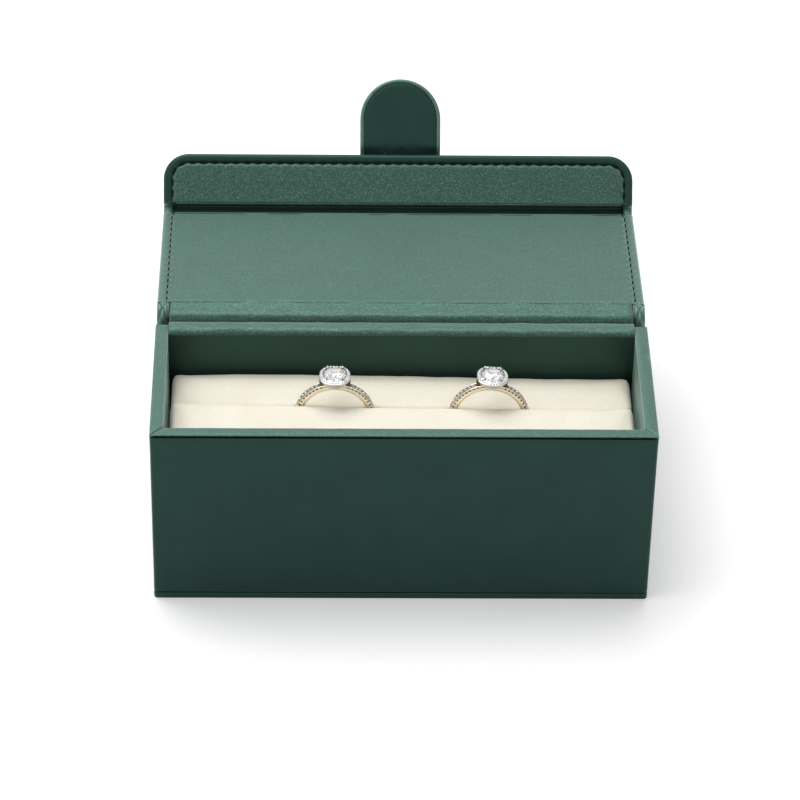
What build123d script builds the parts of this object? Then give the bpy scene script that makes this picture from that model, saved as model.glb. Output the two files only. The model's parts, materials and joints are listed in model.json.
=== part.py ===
from build123d import *
import os
from math import atan2, cos, degrees, radians, sin, sqrt, tan

# A leather-covered ring box, in millimetres. It stands on z = 0 with its front towards -Y, and
# the origin is the middle of its footprint. Its lid is a book cover: a spine, a lid panel and a
# front flap with a pull tab. These are drawn shut and then turned to the open pose.

# Sheet materials
leather = 0.6
lining = 0.5
seam_gap = 0.12
fit_gap = 0.1
soft_gap = 0.3

# Box
box_width = 130.0
box_depth = 46.5
box_height = 55.0
base_plate = 1.8
wall_board = 2.3
floor_board = 2.0
corner_round = 1.0
edge_bevel = 0.35
rim_cap = 1.0
rim_round = 0.42
back_cap_round = 0.2

# Lid, spine and flap
lid_board = 2.0
lid_rest_gap = 0.25
lid_overhang = 0.25
hem_width = 2.5
cover_round = 0.9
spine_length = 8.7
spine_seam = 0.4
back_cover_inset = 0.5
flap_length = 13.7
flap_front_gap = 0.7
flap_corner = 7.0
spine_rest = 22.2
lid_droop = 5.0
fold_rest = 60.0
liner_dip = 1.3
fold_dip = 1.0

# Pull tab
tab_width = 22.3
tab_reach = 21.0
tab_root = 9.0
tab_board = 1.1
tab_rim = 1.06
tab_round = 0.8
tab_root_corner = 1.5

# Magnets in the flap and the front wall
magnet_diameter = 8.0
magnet_thickness = 1.2
magnet_spread = 45.0

# Cushion insert
card_top = 24.2
card = 1.2
insert_gap = 0.9
slot_y = 4.3
front_crown = 44.2
back_crown = 42.6
roll_round = 4.0
roll_swell = 0.5
roll_draw = 1.3
roll_end = 3.5

# Rings
finger_hole = 17.2
band_thick = 1.8
band_width = 1.9
band_bevel = 0.4
ring_height = 39.8
ring_lean = 2.5
left_ring_x = -17.7
right_ring_x = 22.8
right_ring_roll = 3.0
halo_width = 8.2
halo_corner = 2.9
halo_thick = 1.0
halo_rise = 1.7
stone_diameter = 5.4
stone_table = 3.3
crown_rise = 0.85
girdle = 0.15
pavilion_depth = 2.2
stone_culet = 0.4
stone_sides = 16
prong_diameter = 0.7
prong_tip = 0.9
prong_point = 0.3
prong_sides = 8
strut_foot = 0.5
halo_stone = 1.0
halo_stone_count = 20
halo_lane_inset = 0.6
shoulder_stone = 1.25
shoulder_stone_count = 7
shoulder_start = 28.0
shoulder_step = 7.6
small_stone_rise = 0.4
small_table = 0.5
small_sides = 8

# Walls, from outside to inside
wall = leather + wall_board + lining
half_width = box_width / 2
half_depth = box_depth / 2
inner_x = half_width - wall
inner_y = half_depth - wall
board_x = half_width - leather
board_y = half_depth - leather
lined_x = inner_x + lining
lined_y = inner_y + lining
rim_low = box_height - rim_cap
floor_top = base_plate + floor_board
inside_floor = floor_top + lining

# Lid when shut
panel = leather + lid_board + lining
lid_low = box_height + lid_rest_gap
lid_high = lid_low + panel
lid_front = -half_depth - lid_overhang
lid_back = half_depth
spine_thick = leather + lining
spine_y = half_depth + fit_gap + spine_thick / 2
lid_pin = (spine_y, lid_high - leather / 2)
spine_pin = (spine_y, lid_pin[1] - spine_length)
flap_inner = -half_depth - flap_front_gap
flap_outer = flap_inner - panel
fold_pin = (flap_outer + leather / 2, lid_high - leather / 2)
fold_reach = lid_front - fold_pin[0]
flap_high = fold_pin[1] - fold_reach
flap_low = flap_high - flap_length

# How far each hinge turns from shut to the open pose
spine_swing = 90.0 - spine_rest
lid_swing = 180.0 + lid_droop - spine_swing
flap_swing = 90.0 - fold_rest


def block(x, y, z):
    size = [high - low for low, high in (x, y, z)]
    middle = [(low + high) / 2 for low, high in (x, y, z)]
    return Pos(*middle) * Box(*size)


def both(reach):
    return (-reach, reach)


def bar(section, reach):
    # A section drawn as (y, z), run along the width from -reach to reach.
    return extrude(Plane.YZ.offset(-reach) * section, 2 * reach)


def upright(outline, back, front):
    # An outline drawn as (x, z), standing between two depths.
    return extrude(Plane.XZ.offset(-back) * outline, back - front)


def about(pin, shape, degrees):
    return shape.rotate(Axis((0, *pin), (1, 0, 0)), degrees)


def open_spine(shape):
    return about(spine_pin, shape, -spine_swing)


def open_lid(shape):
    return open_spine(about(lid_pin, shape, -lid_swing))


def open_flap(shape):
    return open_lid(about(fold_pin, shape, -flap_swing))


def turned(point, pin, degrees):
    y, z = point[0] - pin[0], point[1] - pin[1]
    c, s = cos(radians(degrees)), sin(radians(degrees))
    return (pin[0] + y * c - z * s, pin[1] + y * s + z * c)


def lid_point(y, z):
    return turned(turned((y, z), lid_pin, -lid_swing), spine_pin, -spine_swing)


def flap_point(y, z):
    return lid_point(*turned((y, z), fold_pin, -flap_swing))


def sagging_strip(start, end, dip, thick):
    # A strip of leather along an arc between two points, bowed by dip, with square ends.
    across = (end[0] - start[0], end[1] - start[1])
    span = sqrt(across[0] ** 2 + across[1] ** 2)
    normal = (-across[1] / span, across[0] / span)
    radius = (span**2 / 4 + dip**2) / (2 * dip)
    centre = [(a + b) / 2 + (radius - dip) * n for a, b, n in zip(start, end, normal)]
    sides = []
    for reach in (radius - thick / 2, radius + thick / 2):
        low, high = [
            tuple(c + (p - c) * reach / radius for c, p in zip(centre, point)) for point in (start, end)
        ]
        middle = tuple(c - reach * n for c, n in zip(centre, normal))
        sides.append(ThreePointArc(low, middle, high))
    ends = [Line(sides[0] @ t, sides[1] @ t) for t in (0, 1)]
    return make_face([*sides, *ends])


def base_parts():
    shell = extrude(RectangleRounded(box_width, box_depth, corner_round), base_plate)
    rims = shell.faces().sort_by(Axis.Z)
    shell = chamfer(rims[0].edges() + rims[-1].edges(), edge_bevel)
    board = block(both(board_x), both(board_y), (leather, base_plate))
    return {"base_cover": shell - board, "base_board": board}


def wall_parts():
    height = (base_plate, rim_low)
    side = (board_x - wall_board, board_x)
    front = block(both(board_x), (-board_y, -lined_y), height)
    boards = {
        "wall_board_front": front - magnet_discs(-board_y, -board_y + magnet_thickness, fit_gap / 2),
        "wall_board_back": block(both(board_x), (lined_y, board_y), height),
        "wall_board_left": block((-side[1], -side[0]), both(lined_y), height),
        "wall_board_right": block(side, both(lined_y), height),
        "floor_board": block(both(lined_x), both(lined_y), (base_plate, floor_top)),
    }
    outline = RectangleRounded(box_width, box_depth, corner_round)
    wrap = extrude(Pos(0, 0, base_plate) * outline, rim_low - base_plate)
    wrap = chamfer(wrap.faces().sort_by(Axis.Z)[0].edges(), edge_bevel)
    boards["outer_wrap"] = wrap - block(both(board_x), both(board_y), height)
    cover_height = (base_plate + back_cover_inset, spine_pin[1] - spine_seam)
    cover_depth = (half_depth, half_depth + leather)
    boards["back_cover"] = block(both(half_width - back_cover_inset), cover_depth, cover_height)
    return boards


def lining_parts():
    height = (floor_top, rim_low)
    return {
        "lining_floor": block(both(inner_x), both(inner_y), (floor_top, inside_floor)),
        "lining_front": block(both(lined_x), (-lined_y, -inner_y), height),
        "lining_back": block(both(lined_x), (inner_y, lined_y), height),
        "lining_left": block((-lined_x, -inner_x), both(inner_y), height),
        "lining_right": block((inner_x, lined_x), both(inner_y), height),
    }


def rim_parts():
    # Caps of the walls, mitred at the front corners. The back cap lies under the hinge liner.
    def cap(length, high):
        body = block(both(length / 2), both(wall / 2), (rim_low, high))
        upper = body.faces().sort_by(Axis.Z)[-1].edges().filter_by(Axis.X)
        return fillet(upper, rim_round if high == box_height else back_cap_round)

    def wedge(points):
        return extrude(Pos(0, 0, rim_low) * make_face(Polyline(*points, close=True)), rim_cap)

    slack = seam_gap / 2 * sqrt(2)
    front = Pos(0, -half_depth + wall / 2, 0) * cap(box_width, box_height)
    corner = (half_width - slack, -half_depth)
    inner = (inner_x - slack, -inner_y)
    front &= wedge([(-corner[0], corner[1]), corner, inner, (-inner[0], inner[1])])
    side = Pos(half_width - wall / 2, 0, 0) * Rot(0, 0, 90) * cap(box_depth, box_height)
    side &= wedge([
        (half_width, -half_depth + slack),
        (half_width, half_depth),
        (inner_x, half_depth),
        (inner_x, -inner_y + slack),
    ])
    back = Pos(0, half_depth - wall / 2, 0) * cap(2 * (inner_x - seam_gap), box_height - lining)
    return {"rim_front": front, "rim_right": side, "rim_left": mirror(side, Plane.YZ), "rim_back": back}


def magnet_discs(back, front, gap):
    # Two upright discs, level with the middle of the closed flap, between two depths.
    middle = (flap_high + flap_low) / 2
    disc = Circle(magnet_diameter / 2 + gap)
    pair = Sketch() + [Pos(x, middle) * disc for x in both(magnet_spread)]
    return upright(pair, max(back, front), min(back, front))


def spine_parts():
    height = (spine_pin[1] + spine_seam, lid_pin[1] - spine_seam)
    inside = spine_y - spine_thick / 2
    skin = block(both(half_width), (inside, inside + spine_thick), height)
    skin = fillet(skin.faces().sort_by(Axis.Y)[-1].edges().filter_by(Axis.Z), leather / 2)
    backing = block(both(half_width - hem_width), (inside, inside + lining), height)
    return {"spine_leather": open_spine(skin - backing), "spine_backing": open_spine(backing)}


def lid_parts():
    depth = (lid_front, lid_back)
    shell = block(both(half_width), depth, (lid_low, lid_high))
    shell = fillet(shell.edges().filter_by(Axis.Y), cover_round)
    board = block(both(board_x), depth, (lid_low + lining, lid_high - leather))
    window = block(both(half_width - hem_width), depth, (lid_low, lid_low + lining))
    parts = {"lid_cover": shell - board - window, "lid_board": board, "lid_lining": window}
    return {name: open_lid(shape) for name, shape in parts.items()}


def flap_outline(inset):
    # The flap seen from the front, drawn in by inset at its three free edges.
    low = flap_low + inset
    sheet = Pos(0, (low + flap_high) / 2) * Rectangle(2 * (half_width - inset), flap_high - low)
    return fillet(sheet.vertices().group_by(Axis.Y)[0], flap_corner - inset)


def flap_parts():
    board_front = flap_inner - lining - lid_board
    shell = upright(flap_outline(0), flap_inner, flap_outer)
    faces = shell.faces().sort_by(Axis.Y)
    rims = (faces[0].edges() + faces[-1].edges()).filter_by(
        lambda edge: edge.center().Z < flap_high - seam_gap
    )
    shell = fillet(rims, cover_round)
    board = upright(flap_outline(leather), flap_inner - lining, board_front)
    window = upright(flap_outline(hem_width), flap_inner, flap_inner - lining)
    magnet_back = flap_inner - lining
    pockets = magnet_discs(magnet_back, magnet_back - magnet_thickness, fit_gap / 2)
    parts = {
        "flap_cover": shell - board - window,
        "flap_board": board - pockets,
        "flap_lining": window,
        "flap_magnets": magnet_discs(magnet_back, magnet_back - magnet_thickness, 0),
    }
    return {name: open_flap(shape) for name, shape in parts.items()}


def tab_outline(inset):
    low, high = flap_low - tab_reach + inset, flap_low + tab_root - inset
    width = tab_width - 2 * inset
    sheet = Pos(0, (low + high) / 2) * Rectangle(width, high - low)
    sheet = fillet(sheet.vertices().group_by(Axis.Y)[0], width / 2 - seam_gap)
    return fillet(sheet.vertices().group_by(Axis.Y)[-1], tab_root_corner)


def tab_parts():
    back = flap_outer
    front = back - lining - tab_board - leather
    shell = upright(tab_outline(0), back, front)
    shell = fillet(shell.faces().sort_by(Axis.Y)[0].edges(), tab_round)
    board = upright(tab_outline(tab_rim), back - lining, back - lining - tab_board)
    facing = upright(tab_outline(tab_rim), back, back - lining)
    parts = {"tab_shell": shell - board - facing, "tab_board": board, "tab_facing": facing}
    return {name: open_flap(shape) for name, shape in parts.items()}


def hinge_liner():
    # Lies on the back rim and bridges the open hinge to the edge of the lid lining.
    over_rim = Pos(half_depth - wall / 2, box_height - lining / 2) * Rectangle(wall, lining)
    start = (half_depth, box_height - lining / 2)
    end = lid_point(lid_back + soft_gap, lid_low + lining / 2)
    section = over_rim + sagging_strip(start, end, liner_dip, lining)
    return bar(section, inner_x - seam_gap)


def fold_parts():
    # Leather between the lid panel and the flap, in the bend that it has when open.
    middle = leather / 2
    start = lid_point(lid_front, lid_high - middle)
    end = flap_point(flap_outer + middle, flap_high)
    bow = fold_reach * tan(radians(fold_rest / 4)) * cos(radians(fold_rest / 2))
    cover = bar(sagging_strip(start, end, bow, leather), half_width)
    start = lid_point(lid_front - soft_gap, lid_low + lining / 2)
    end = flap_point(flap_inner - lining / 2, flap_high + soft_gap)
    inner = bar(sagging_strip(start, end, fold_dip, lining), half_width - hem_width)
    return {"fold_cover": cover, "fold_lining": inner}


def roll(front, back, crown):
    # A velvet roll between two depths, taken at the height of the ring centres. A side next to the
    # slot leans with the rings. The sides swell, the top is crowned, and the ends are drawn in.
    low = card_top + soft_gap

    def side(depth, inward, top):
        # The corner points and the swell of one side, from the card up to the top's rounding.
        slope = tan(radians(ring_lean)) if abs(depth - slot_y) < roll_round else 0
        levels = (low, (low + top) / 2, top)
        foot, swell, shoulder = [(depth + (z - ring_height) * slope, z) for z in levels]
        return foot, (swell[0] - inward * roll_swell, swell[1]), shoulder

    def section(draw):
        top = crown - draw
        level = top - roll_swell / 2
        foot0, swell0, shoulder0 = side(front + draw / 2, -1, level - roll_round)
        foot1, swell1, shoulder1 = side(back - draw / 2, 1, level - roll_round)
        flat0, flat1 = (shoulder0[0] + roll_round, level), (shoulder1[0] - roll_round, level)
        edges = [
            Line(foot0, foot1),
            ThreePointArc(foot1, swell1, shoulder1),
            JernArc(shoulder1, (0, 1), roll_round, 90),
            ThreePointArc(flat1, ((flat0[0] + flat1[0]) / 2, top), flat0),
            JernArc(flat0, (-1, 0), roll_round, 90),
            ThreePointArc(shoulder0, swell0, foot0),
        ]
        return make_face(edges)

    end = inner_x - insert_gap
    stations = [(-end, roll_draw), (roll_end - end, 0), (end - roll_end, 0), (end, roll_draw)]
    return loft([Plane.YZ.offset(x) * section(draw) for x, draw in stations], ruled=True)


def insert_parts():
    slot = band_width / 2 + soft_gap
    reach_x, reach_y = inner_x - insert_gap, inner_y - soft_gap
    return {
        "foam_block": block(both(reach_x), both(reach_y), (inside_floor, card_top - card)),
        "insert_card": block(both(reach_x), both(reach_y), (card_top - card, card_top)),
        "cushion_front": roll(-reach_y, slot_y - slot, front_crown),
        "cushion_back": roll(slot_y + slot, reach_y, back_crown),
    }


def frustum(wide, narrow, length, sides):
    # A prism that narrows upwards, with flat sides. Widths are taken across its corners.
    across = cos(radians(180 / sides)) * (wide - narrow) / 2
    return extrude(RegularPolygon(wide / 2, sides), length, taper=degrees(atan2(across, length)))


def centre_gem():
    # A brilliant with its girdle at z = 0 and its table up.
    belt = extrude(RegularPolygon(stone_diameter / 2, stone_sides), girdle)
    crown = Pos(0, 0, girdle) * frustum(stone_diameter, stone_table, crown_rise, stone_sides)
    pavilion = mirror(frustum(stone_diameter, stone_culet, pavilion_depth, stone_sides), Plane.XY)
    return belt + crown + pavilion


def ring_head(band, plate_low):
    # The halo plate round the stone, and four claws that rise from the band through its seat.
    outline = RectangleRounded(halo_width, halo_width, halo_corner)
    plate = extrude(Pos(0, 0, plate_low) * outline, halo_thick)
    seat = stone_diameter / 2 + fit_gap
    head = plate - Pos(0, 0, plate_low + halo_thick / 2) * Cylinder(seat, 2 * halo_thick)
    foot_level = finger_hole / 2 + band_thick * 2 / 3
    tip_level = plate_low + halo_thick + girdle
    reach = (seat + prong_diameter / 2) / sqrt(2)
    for x in both(reach):
        for y in both(reach):
            foot = Vector(x * strut_foot, y * strut_foot, foot_level)
            strut = Vector(x, y, tip_level) - foot
            rod = extrude(RegularPolygon(prong_diameter / 2, prong_sides), strut.length)
            tip = frustum(prong_diameter, prong_point, prong_tip, prong_sides)
            head += Plane(origin=foot, z_dir=strut) * rod + Pos(x, y, tip_level) * tip
    return head - band


def halo_stones(level):
    stone = frustum(halo_stone, small_table, small_stone_rise, small_sides)
    width = halo_width - 2 * halo_lane_inset
    lane = RectangleRounded(width, width, halo_corner - halo_lane_inset).wire()
    spots = [lane @ (i / halo_stone_count) for i in range(halo_stone_count)]
    return Compound([Pos(spot.X, spot.Y, level) * stone for spot in spots])


def shoulder_stones(level):
    stone = Pos(0, 0, level) * frustum(shoulder_stone, small_table, small_stone_rise, small_sides)
    turns = [shoulder_start + i * shoulder_step for i in range(shoulder_stone_count)]
    return Compound([Rot(0, side * turn, 0) * stone for side in (-1, 1) for turn in turns])


def ring_parts(place, side):
    # Drawn round the Y axis with the head up, then put in its place.
    inner = finger_hole / 2
    outer = inner + band_thick
    section = Pos(inner + band_thick / 2, 0) * Rectangle(band_thick, band_width)
    band = revolve(chamfer(section.vertices(), band_bevel), Axis.Y)
    plate_low = outer + halo_rise
    girdle_level = plate_low + halo_thick
    parts = {
        "ring_band": band,
        "ring_head": ring_head(band, plate_low),
        "centre_stone": Pos(0, 0, girdle_level - girdle) * centre_gem(),
        "halo_stones": halo_stones(girdle_level),
        "shoulder_stones": shoulder_stones(outer + seam_gap / 4),
    }
    return {f"{name}_{side}": place * shape for name, shape in parts.items()}


parts = {}
parts.update(base_parts())
parts.update(wall_parts())
parts["wall_magnets"] = magnet_discs(-board_y, -board_y + magnet_thickness, 0)
parts.update(lining_parts())
parts.update(rim_parts())
parts.update(insert_parts())
parts.update(spine_parts())
parts["hinge_liner"] = hinge_liner()
parts.update(lid_parts())
parts.update(fold_parts())
parts.update(flap_parts())
parts.update(tab_parts())
lean = Rot(-ring_lean, 0, 0)
parts.update(ring_parts(Pos(left_ring_x, slot_y, ring_height) * lean, "left"))
right_place = Pos(right_ring_x, slot_y, ring_height) * lean * Rot(0, right_ring_roll, 0)
parts.update(ring_parts(right_place, "right"))

os.makedirs("parts", exist_ok=True)
for name, shape in parts.items():
    export_step(shape, f"parts/{name}.step")

print("nodes", len(parts))
print("spine hinge at", spine_pin, "turns", spine_swing)
print("lid hinge at", lid_point(*lid_pin), "turns", lid_swing)
print("flap fold at", lid_point(*fold_pin), "turns", -fold_rest, "to", flap_swing)
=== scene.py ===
import bpy
import bmesh
import json
import numpy as np
from math import atan2, cos, exp, hypot, pi, radians, sin
from mathutils import Matrix, Vector, noise


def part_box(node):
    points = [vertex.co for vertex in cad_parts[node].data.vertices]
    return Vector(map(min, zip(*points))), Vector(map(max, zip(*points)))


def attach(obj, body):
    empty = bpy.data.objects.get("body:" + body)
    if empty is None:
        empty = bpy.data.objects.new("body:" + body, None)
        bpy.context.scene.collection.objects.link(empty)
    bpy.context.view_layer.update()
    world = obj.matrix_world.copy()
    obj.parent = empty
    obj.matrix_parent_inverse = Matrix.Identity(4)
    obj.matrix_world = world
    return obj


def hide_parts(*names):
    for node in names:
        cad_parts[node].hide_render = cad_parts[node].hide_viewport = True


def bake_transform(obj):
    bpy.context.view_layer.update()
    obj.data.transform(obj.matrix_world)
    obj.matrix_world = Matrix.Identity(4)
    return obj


# Ring box: leather case, book-style lid with flap and pull tab, velvet slot cushion, two rings.
# Lengths are millimetres in this file's own numbers, and mm turns them into metres.

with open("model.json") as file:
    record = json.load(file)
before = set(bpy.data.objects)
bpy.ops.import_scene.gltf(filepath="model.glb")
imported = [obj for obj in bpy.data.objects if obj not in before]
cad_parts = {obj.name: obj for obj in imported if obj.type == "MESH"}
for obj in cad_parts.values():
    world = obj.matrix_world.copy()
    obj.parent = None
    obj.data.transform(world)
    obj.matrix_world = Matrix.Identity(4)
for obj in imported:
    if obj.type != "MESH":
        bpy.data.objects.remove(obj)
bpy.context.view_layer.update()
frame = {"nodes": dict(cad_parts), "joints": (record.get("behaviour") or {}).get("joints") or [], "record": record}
mm = 0.001
jointPlace = {joint["name"]: Vector(joint["pos_m"]) / mm for joint in frame["joints"]}
jointRange = {joint["name"]: joint["range_deg"] for joint in frame["joints"]}


# camera and light

cameraLook = {
    "place": (-22.55139, -765.2408, 654.49539),
    "yaw": 0.02853013,  # radians, towards +X
    "pitch": 0.669702893,  # radians, downwards
    "roll": 0.0217998238,
    "lens": 168.656,
}


def placeCamera(look):
    yaw, pitch, roll = look["yaw"], look["pitch"], look["roll"]
    forward = Vector((sin(yaw) * cos(pitch), cos(yaw) * cos(pitch), -sin(pitch)))
    level = Vector((cos(yaw), -sin(yaw), 0))
    upward = level.cross(forward)
    right = level * cos(roll) + upward * sin(roll)
    top = upward * cos(roll) - level * sin(roll)
    camera = bpy.data.objects.new("camera", bpy.data.cameras.new("camera"))
    camera.data.lens = look["lens"]
    camera.data.clip_end = 10
    turn = Matrix((right, top, -forward)).transposed().to_4x4()
    camera.matrix_world = Matrix.Translation(Vector(look["place"]) * mm) @ turn
    bpy.context.collection.objects.link(camera)
    bpy.context.scene.camera = camera


lampLook = {
    "above": {"place": (-250, 360, 1170), "size": (1200, 1000), "power": 14.0},
    "left": {"place": (-1100, -300, 700), "size": (700, 700), "power": 1.2},
    "front": {"place": (200, -1000, 900), "size": (900, 600), "power": 0.2},
}
lampAim = Vector((0, 10, 35)) * mm


def placeLamp(name, look):
    light = bpy.data.lights.new(f"lamp_{name}", "AREA")
    light.shape = "RECTANGLE"
    light.size, light.size_y = [side * mm for side in look["size"]]
    light.energy = look["power"]
    lamp = bpy.data.objects.new(f"lamp_{name}", light)
    place = Vector(look["place"]) * mm
    turn = (lampAim - place).to_track_quat("-Z", "Y").to_matrix().to_4x4()
    lamp.matrix_world = Matrix.Translation(place) @ turn
    bpy.context.collection.objects.link(lamp)


# shader maths

class Flow:
    # a shader socket that can be added, multiplied and so on
    def __init__(self, finish, socket):
        self.finish = finish
        self.socket = socket

    def maths(self, operation, first, second):
        sides = (first, second)
        wide = any(
            side.socket.type in ("RGBA", "VECTOR") if isinstance(side, Flow) else not isinstance(side, (int, float))
            for side in sides
        )
        if not wide:
            return self.finish.node("Math", {"operation": operation}, {0: first, 1: second})
        sides = [(side,) * 3 if isinstance(side, (int, float)) else side for side in sides]
        return self.finish.node("VectorMath", {"operation": operation}, {0: sides[0], 1: sides[1]})

    def __add__(self, other):
        return self.maths("ADD", self, other)

    def __radd__(self, other):
        return self.maths("ADD", other, self)

    def __sub__(self, other):
        return self.maths("SUBTRACT", self, other)

    def __rsub__(self, other):
        return self.maths("SUBTRACT", other, self)

    def __mul__(self, other):
        return self.maths("MULTIPLY", self, other)

    def __rmul__(self, other):
        return self.maths("MULTIPLY", other, self)


class Finish:
    # one material: its fixed values are set on the shader, and its nodes come from node()
    def __init__(self, name, **fixed):
        self.material = bpy.data.materials.new(name)
        self.material.use_nodes = True
        self.tree = self.material.node_tree
        self.shader = self.tree.nodes["Principled BSDF"]
        for socket, value in fixed.items():
            self.feed(self.shader.inputs[socket.replace("_", " ")], value)

    def feed(self, socket, value):
        if isinstance(value, Flow):
            self.tree.links.new(value.socket, socket)
        elif socket.type == "RGBA" and len(value) == 3:
            socket.default_value = (*value, 1)
        else:
            socket.default_value = value

    def node(self, kind, settings=None, inputs=None, output=0):
        made = self.tree.nodes.new("ShaderNode" + kind)
        for key, value in (settings or {}).items():
            if key == "stops":
                for stop, (place, shade) in zip(made.color_ramp.elements, value):
                    stop.position = place
                    stop.color = (shade, shade, shade, 1)
            else:
                setattr(made, key, value)
        for key, value in (inputs or {}).items():
            self.feed(made.inputs[key], value)
        return Flow(self, made.outputs[output])

    def spot(self):
        # where the surface is, in millimetres
        return self.node("TexCoord", output="Object") * (1 / mm)

    def cloud(self, size, detail=2.0, at=None):
        return self.node("TexNoise", {}, {"Vector": at or self.spot(), "Scale": 1 / size, "Detail": detail}, "Fac")

    def cells(self, size, at=None, output="Distance"):
        return self.node("TexVoronoi", {}, {"Vector": at or self.spot(), "Scale": 1 / size}, output)

    def ramp(self, value, *stops):
        # two stops, each a place and a shade of grey
        return self.node("ValToRGB", {"stops": stops}, {"Fac": value})

    def tint(self, amount, low, high):
        return self.node("Mix", {"data_type": "RGBA"}, {0: amount, 6: low, 7: high}, 2)

    def clamp(self, value):
        return self.node("Clamp", {}, {"Value": value})

    def relief(self, height, depth):
        # depth in millimetres
        return self.node("Bump", {}, {"Height": height, "Distance": depth * mm, "Strength": 1.0})

    def dress(self, **flows):
        for socket, value in flows.items():
            self.feed(self.shader.inputs[socket.replace("_", " ")], value)
        return self


# finishes

leatherLook = {
    "dark": (0.0142, 0.0385, 0.0315),
    "pale": (0.0205, 0.0515, 0.0425),
    # paler colour on the edges: partly rubbed wear, partly painted highlight
    "edgeWearAndHighlight": (0.045, 0.095, 0.08),
    "sheen": (0.6, 0.9, 0.8),
    "grain": 0.55,
    "grainDepth": 0.03,
}


def outerLeather(look):
    # smooth dark green leather with a fine pebble, and edges a little paler: partly rubbed wear, partly a painted
    # highlight along the edges
    finish = Finish(
        "outerLeather", Specular_IOR_Level=0.3, Sheen_Weight=0.35, Sheen_Roughness=0.35, Sheen_Tint=look["sheen"]
    )
    spot = finish.spot()
    mottle = finish.cloud(9.0, 4.0, spot)
    pebble = finish.cells(look["grain"], spot)
    fine = finish.cloud(0.25, 2.0, spot)
    # edges paler: partly rubbed wear, partly painted highlight
    edge = finish.node("NewGeometry", output="Pointiness")
    wearAndHighlightMask = finish.ramp(edge, (0.52, 0.0), (0.62, 1.0))
    colour = finish.tint(mottle, look["dark"], look["pale"])
    colour = finish.tint(wearAndHighlightMask * 0.5, colour, look["edgeWearAndHighlight"])
    height = pebble * 0.7 + fine * 0.5 + finish.cloud(2.4, 3.0, spot) * 0.9
    rough = 0.4 + mottle * 0.08 + fine * 0.06
    return finish.dress(
        Base_Color=colour, Roughness=rough, Metallic=0.85, Normal=finish.relief(height, look["grainDepth"])
    )


liningLook = {
    "name": "liningLeather",
    "dark": (0.0205, 0.054, 0.0425),
    "pale": (0.034, 0.08, 0.064),
    "spark": (0.105, 0.2, 0.17),
    "sparkSize": 0.4,
    "sheen": (0.65, 1.0, 0.87),
}
# lit copy of the outer leather, for its upward-facing parts: its lighter colours are painted light
litOuterLeatherLook = {
    **liningLook,
    "name": "litOuterLeather",
    "dark": (0.021, 0.063, 0.048),
    "pale": (0.036, 0.094, 0.073),
    "spark": (0.085, 0.155, 0.132),
    # here only a painted highlight along the edges
    "edgeWearAndHighlight": (0.12, 0.21, 0.18),
    "sheen": (0.74, 1.0, 0.9),
}


def liningLeather(look):
    # the same green with a pearl shimmer: fine specks that catch the light. It also makes the lit copy of the outer
    # leather, lighter as painted light, with a painted highlight on its edges
    finish = Finish(
        look["name"], Specular_IOR_Level=0.3, Sheen_Weight=1.0, Sheen_Roughness=0.5, Sheen_Tint=look["sheen"]
    )
    spot = finish.spot()
    broad = finish.cloud(7.0, 3.0, spot)
    speck = finish.cloud(look["sparkSize"], 2.0, spot)
    flake = finish.cells(look["sparkSize"], spot, "Color")
    colour = finish.tint(broad, look["dark"], look["pale"])
    colour = finish.tint(finish.ramp(speck, (0.45, 0.0), (0.75, 0.8)), colour, look["spark"])
    height = speck * 1.0 + finish.cloud(1.3, 2.0, spot) * 0.6
    # edges paler: painted highlight, used by the lit copy of the outer leather
    if "edgeWearAndHighlight" in look:
        wearAndHighlightMask = finish.ramp(finish.node("NewGeometry", output="Pointiness"), (0.506, 0.0), (0.56, 1.0))
        colour = finish.tint(wearAndHighlightMask * 0.8, colour, look["edgeWearAndHighlight"])
    rough = 0.42 + speck * 0.12
    shift = finish.node("SeparateXYZ", {}, {0: flake}) * 0.12
    return finish.dress(
        Base_Color=colour, Roughness=rough, Metallic=0.72 + shift, Normal=finish.relief(height, 0.035)
    )


def threadFinish():
    # twisted sewing thread in dark green, made darker still as painted shade in the stitch groove
    finish = Finish("thread", Specular_IOR_Level=0.1)
    spot = finish.spot()
    twist = finish.node("TexWave", {"bands_direction": "DIAGONAL"}, {"Vector": spot, "Scale": 1.6}, "Fac")
    colour = finish.tint(twist, (0.002, 0.007, 0.006), (0.007, 0.018, 0.015))
    return finish.dress(Base_Color=colour, Roughness=0.8 - twist * 0.1, Normal=finish.relief(twist, 0.05))


velvetLook = {
    "deep": (0.79, 0.74, 0.6),
    "pile": (0.88, 0.845, 0.74),
    "pileSize": 0.35,
    "sheen": (1.0, 0.97, 0.88),
}


def velvetFinish(look):
    # short cream pile with faint brushed patches
    finish = Finish(
        "velvet", Sheen_Weight=0.45, Sheen_Roughness=0.4, Sheen_Tint=look["sheen"], Specular_IOR_Level=0.1
    )
    spot = finish.spot()
    pile = finish.cloud(look["pileSize"], 3.0, spot)
    brushed = finish.cloud(11.0, 2.0, spot)
    shade = finish.ramp(brushed, (0.35, 0.0), (0.7, 1.0)) * 0.35
    shade = shade + finish.ramp(pile, (0.3, 0.0), (0.7, 1.0)) * 0.65
    colour = finish.tint(shade, look["deep"], look["pile"])
    height = pile + finish.cloud(1.4, 2.0, spot) * 0.8
    return finish.dress(Base_Color=colour, Roughness=0.9 - pile * 0.1, Normal=finish.relief(height, 0.07))


def boardFinish():
    # grey bookbinder's board, with short fibres
    finish = Finish("greyboard", Specular_IOR_Level=0.2)
    spot = finish.spot()
    fibres = finish.cloud(0.9, 5.0, spot)
    colour = finish.tint(fibres, (0.3, 0.28, 0.24), (0.5, 0.47, 0.42))
    return finish.dress(Base_Color=colour, Roughness=0.85 + fibres * 0.1, Normal=finish.relief(fibres, 0.08))


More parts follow.
